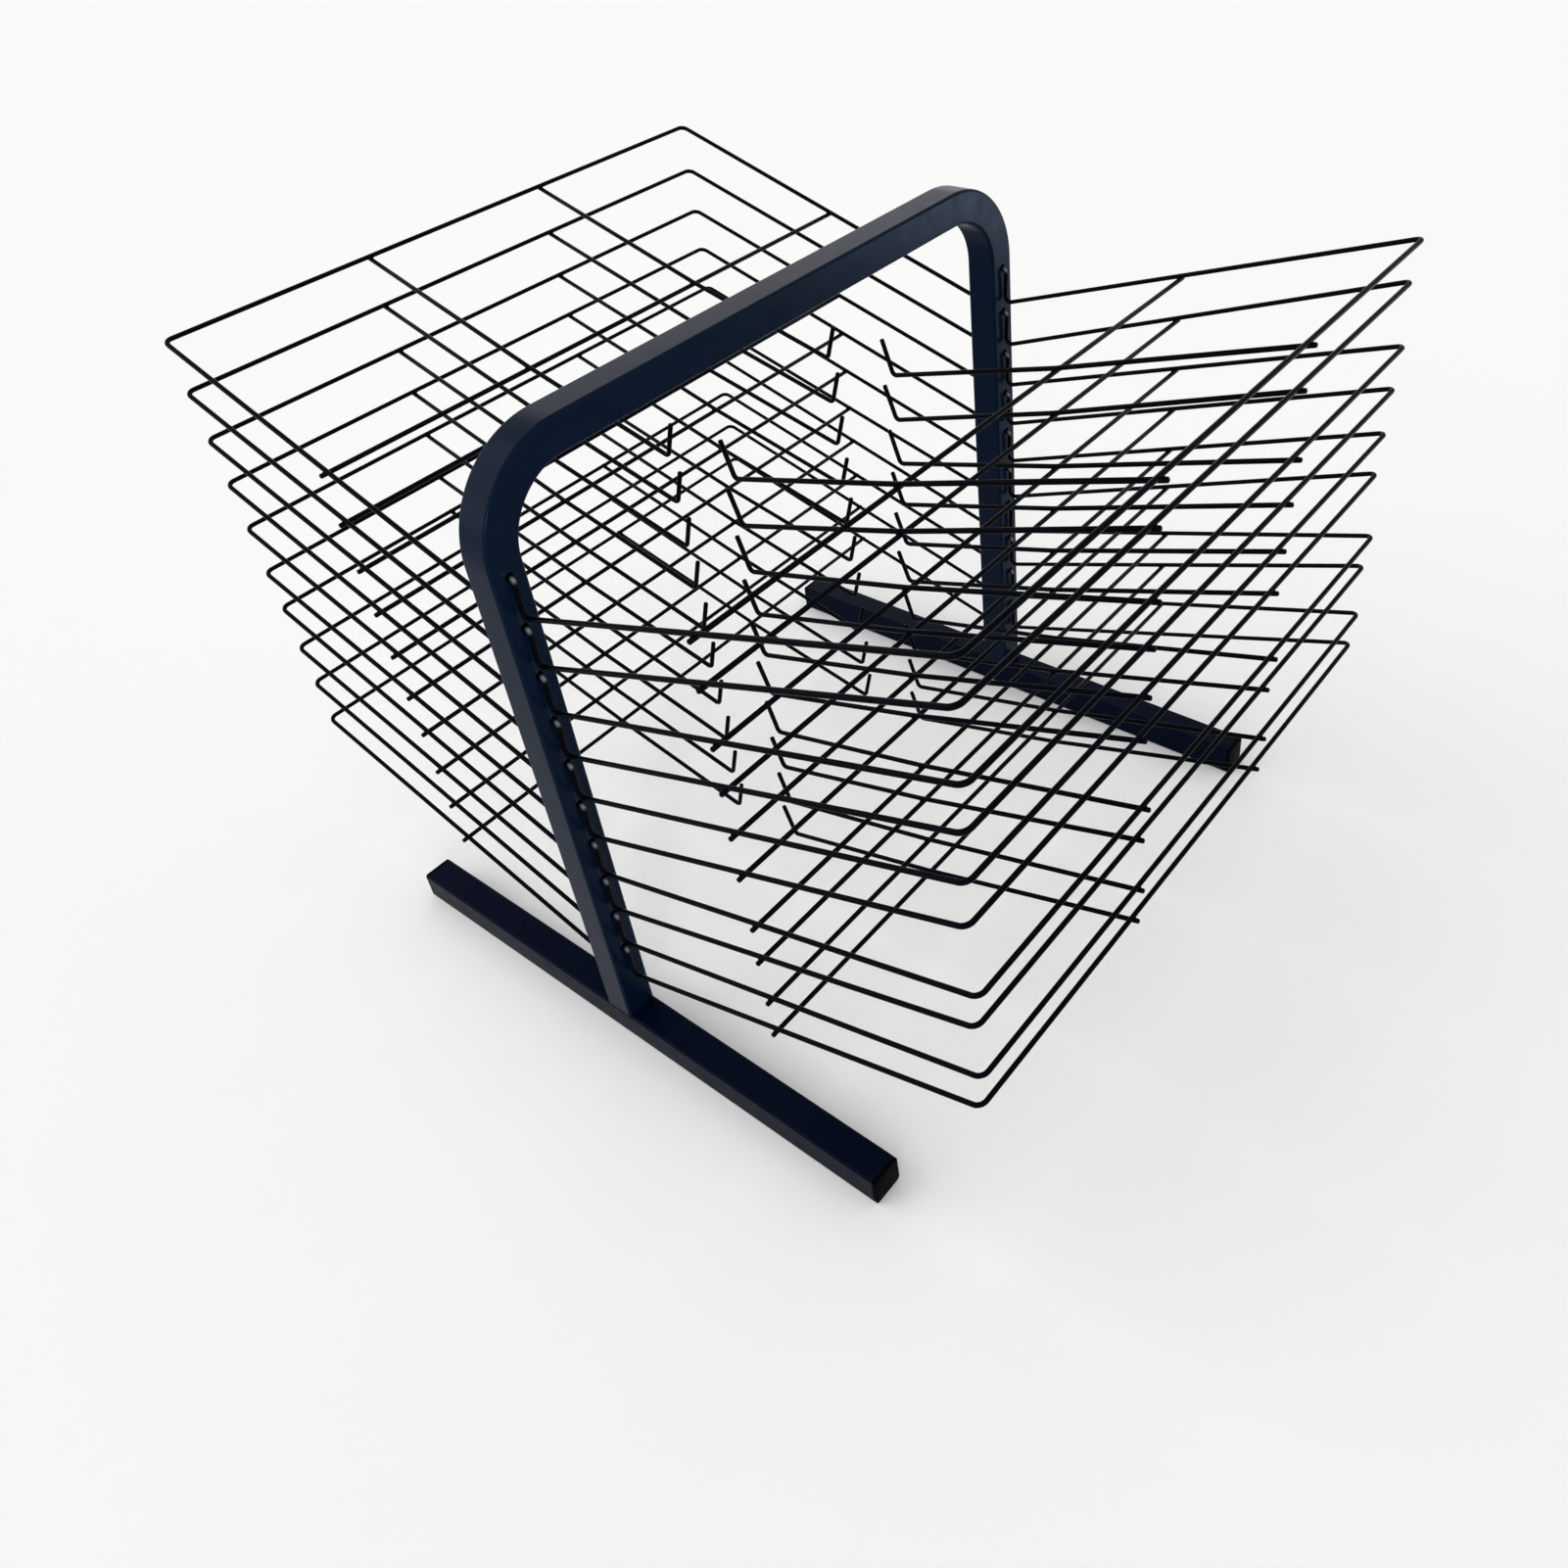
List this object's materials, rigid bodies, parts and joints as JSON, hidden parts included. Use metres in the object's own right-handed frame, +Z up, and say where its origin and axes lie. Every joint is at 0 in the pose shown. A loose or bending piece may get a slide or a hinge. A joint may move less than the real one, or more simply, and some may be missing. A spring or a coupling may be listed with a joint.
{
  "type": "art drying rack",
  "caption": "Free-standing two-sided drying rack: a bent square-tube frame on two feet, with sloping wire shelves hooked into holes on both sides to dry flat artwork.",
  "frame": {"origin": "on the floor, midway between the two posts, in the plane of the frame", "axes": "+X along the top bar from the near post to the far post, +Y towards the left shelves, +Z up"},
  "size_m": [0.472, 0.5998, 0.439],
  "materials": {
    "frame_coat": "satin powder coat",
    "foot_coat": "satin powder coat",
    "wire_coat": "satin powder coat",
    "cap_plastic": "moulded, fine grain",
    "zinc_plate": "zinc plated"
  },
  "bodies": {
    "stand": {"frame": "frame_coat", "near_foot": "foot_coat", "near_insert": "zinc_plate", "near_foot_bolt": "zinc_plate", "near_foot_right_cap": "cap_plastic", "near_foot_left_cap": "cap_plastic", "far_foot": "foot_coat", "far_insert": "zinc_plate", "far_foot_bolt": "zinc_plate", "far_foot_right_cap": "cap_plastic", "far_foot_left_cap": "cap_plastic"},
    "left_shelf_1": {"left_shelf_1": "wire_coat"},
    "left_shelf_2": {"left_shelf_2": "wire_coat"},
    "left_shelf_3": {"left_shelf_3": "wire_coat"},
    "left_shelf_4": {"left_shelf_4": "wire_coat"},
    "left_shelf_5": {"left_shelf_5": "wire_coat"},
    "left_shelf_6": {"left_shelf_6": "wire_coat"},
    "left_shelf_7": {"left_shelf_7": "wire_coat"},
    "left_shelf_8": {"left_shelf_8": "wire_coat"},
    "left_shelf_9": {"left_shelf_9": "wire_coat"},
    "left_shelf_10": {"left_shelf_10": "wire_coat"},
    "right_shelf_1": {"right_shelf_1": "wire_coat"},
    "right_shelf_2": {"right_shelf_2": "wire_coat"},
    "right_shelf_3": {"right_shelf_3": "wire_coat"},
    "right_shelf_4": {"right_shelf_4": "wire_coat"},
    "right_shelf_5": {"right_shelf_5": "wire_coat"},
    "right_shelf_6": {"right_shelf_6": "wire_coat"},
    "right_shelf_7": {"right_shelf_7": "wire_coat"},
    "right_shelf_8": {"right_shelf_8": "wire_coat"},
    "right_shelf_9": {"right_shelf_9": "wire_coat"},
    "right_shelf_10": {"right_shelf_10": "wire_coat"}
  },
  "joints": [
    {"name": "left_shelf_1_tip", "type": "hinge", "parent": "stand", "child": "left_shelf_1", "pos_m": [0, 0.01025, 0.3703], "axis": [1, 0, 0], "range_deg": [0, 12]},
    {"name": "left_shelf_2_tip", "type": "hinge", "parent": "stand", "child": "left_shelf_2", "pos_m": [0, 0.01025, 0.3383], "axis": [1, 0, 0], "range_deg": [0, 5]},
    {"name": "left_shelf_3_tip", "type": "hinge", "parent": "stand", "child": "left_shelf_3", "pos_m": [0, 0.01025, 0.3063], "axis": [1, 0, 0], "range_deg": [0, 5]},
    {"name": "left_shelf_4_tip", "type": "hinge", "parent": "stand", "child": "left_shelf_4", "pos_m": [0, 0.01025, 0.2743], "axis": [1, 0, 0], "range_deg": [0, 4.5]},
    {"name": "left_shelf_5_tip", "type": "hinge", "parent": "stand", "child": "left_shelf_5", "pos_m": [0, 0.01025, 0.2423], "axis": [1, 0, 0], "range_deg": [0, 5]},
    {"name": "left_shelf_6_tip", "type": "hinge", "parent": "stand", "child": "left_shelf_6", "pos_m": [0, 0.01025, 0.2103], "axis": [1, 0, 0], "range_deg": [0, 5.5]},
    {"name": "left_shelf_7_tip", "type": "hinge", "parent": "stand", "child": "left_shelf_7", "pos_m": [0, 0.01025, 0.1783], "axis": [1, 0, 0], "range_deg": [0, 4]},
    {"name": "left_shelf_8_tip", "type": "hinge", "parent": "stand", "child": "left_shelf_8", "pos_m": [0, 0.01025, 0.1463], "axis": [1, 0, 0], "range_deg": [0, 5]},
    {"name": "left_shelf_9_tip", "type": "hinge", "parent": "stand", "child": "left_shelf_9", "pos_m": [0, 0.01025, 0.1143], "axis": [1, 0, 0], "range_deg": [0, 5]},
    {"name": "left_shelf_10_tip", "type": "hinge", "parent": "stand", "child": "left_shelf_10", "pos_m": [0, 0.01025, 0.0823], "axis": [1, 0, 0], "range_deg": [0, 5]},
    {"name": "right_shelf_1_tip", "type": "hinge", "parent": "stand", "child": "right_shelf_1", "pos_m": [0, -0.01025, 0.3703], "axis": [-1, 0, 0], "range_deg": [0, 12]},
    {"name": "right_shelf_2_tip", "type": "hinge", "parent": "stand", "child": "right_shelf_2", "pos_m": [0, -0.01025, 0.3383], "axis": [-1, 0, 0], "range_deg": [0, 3]},
    {"name": "right_shelf_3_tip", "type": "hinge", "parent": "stand", "child": "right_shelf_3", "pos_m": [0, -0.01025, 0.3063], "axis": [-1, 0, 0], "range_deg": [0, 6]},
    {"name": "right_shelf_4_tip", "type": "hinge", "parent": "stand", "child": "right_shelf_4", "pos_m": [0, -0.01025, 0.2743], "axis": [-1, 0, 0], "range_deg": [0, 3.5]},
    {"name": "right_shelf_5_tip", "type": "hinge", "parent": "stand", "child": "right_shelf_5", "pos_m": [0, -0.01025, 0.2423], "axis": [-1, 0, 0], "range_deg": [0, 4]},
    {"name": "right_shelf_6_tip", "type": "hinge", "parent": "stand", "child": "right_shelf_6", "pos_m": [0, -0.01025, 0.2103], "axis": [-1, 0, 0], "range_deg": [0, 4]},
    {"name": "right_shelf_7_tip", "type": "hinge", "parent": "stand", "child": "right_shelf_7", "pos_m": [0, -0.01025, 0.1783], "axis": [-1, 0, 0], "range_deg": [0, 7.5]},
    {"name": "right_shelf_8_tip", "type": "hinge", "parent": "stand", "child": "right_shelf_8", "pos_m": [0, -0.01025, 0.1463], "axis": [-1, 0, 0], "range_deg": [0, 3]},
    {"name": "right_shelf_9_tip", "type": "hinge", "parent": "stand", "child": "right_shelf_9", "pos_m": [0, -0.01025, 0.1143], "axis": [-1, 0, 0], "range_deg": [0, 6]},
    {"name": "right_shelf_10_tip", "type": "hinge", "parent": "stand", "child": "right_shelf_10", "pos_m": [0, -0.01025, 0.0823], "axis": [-1, 0, 0], "range_deg": [0, 3.5]}
  ]
}
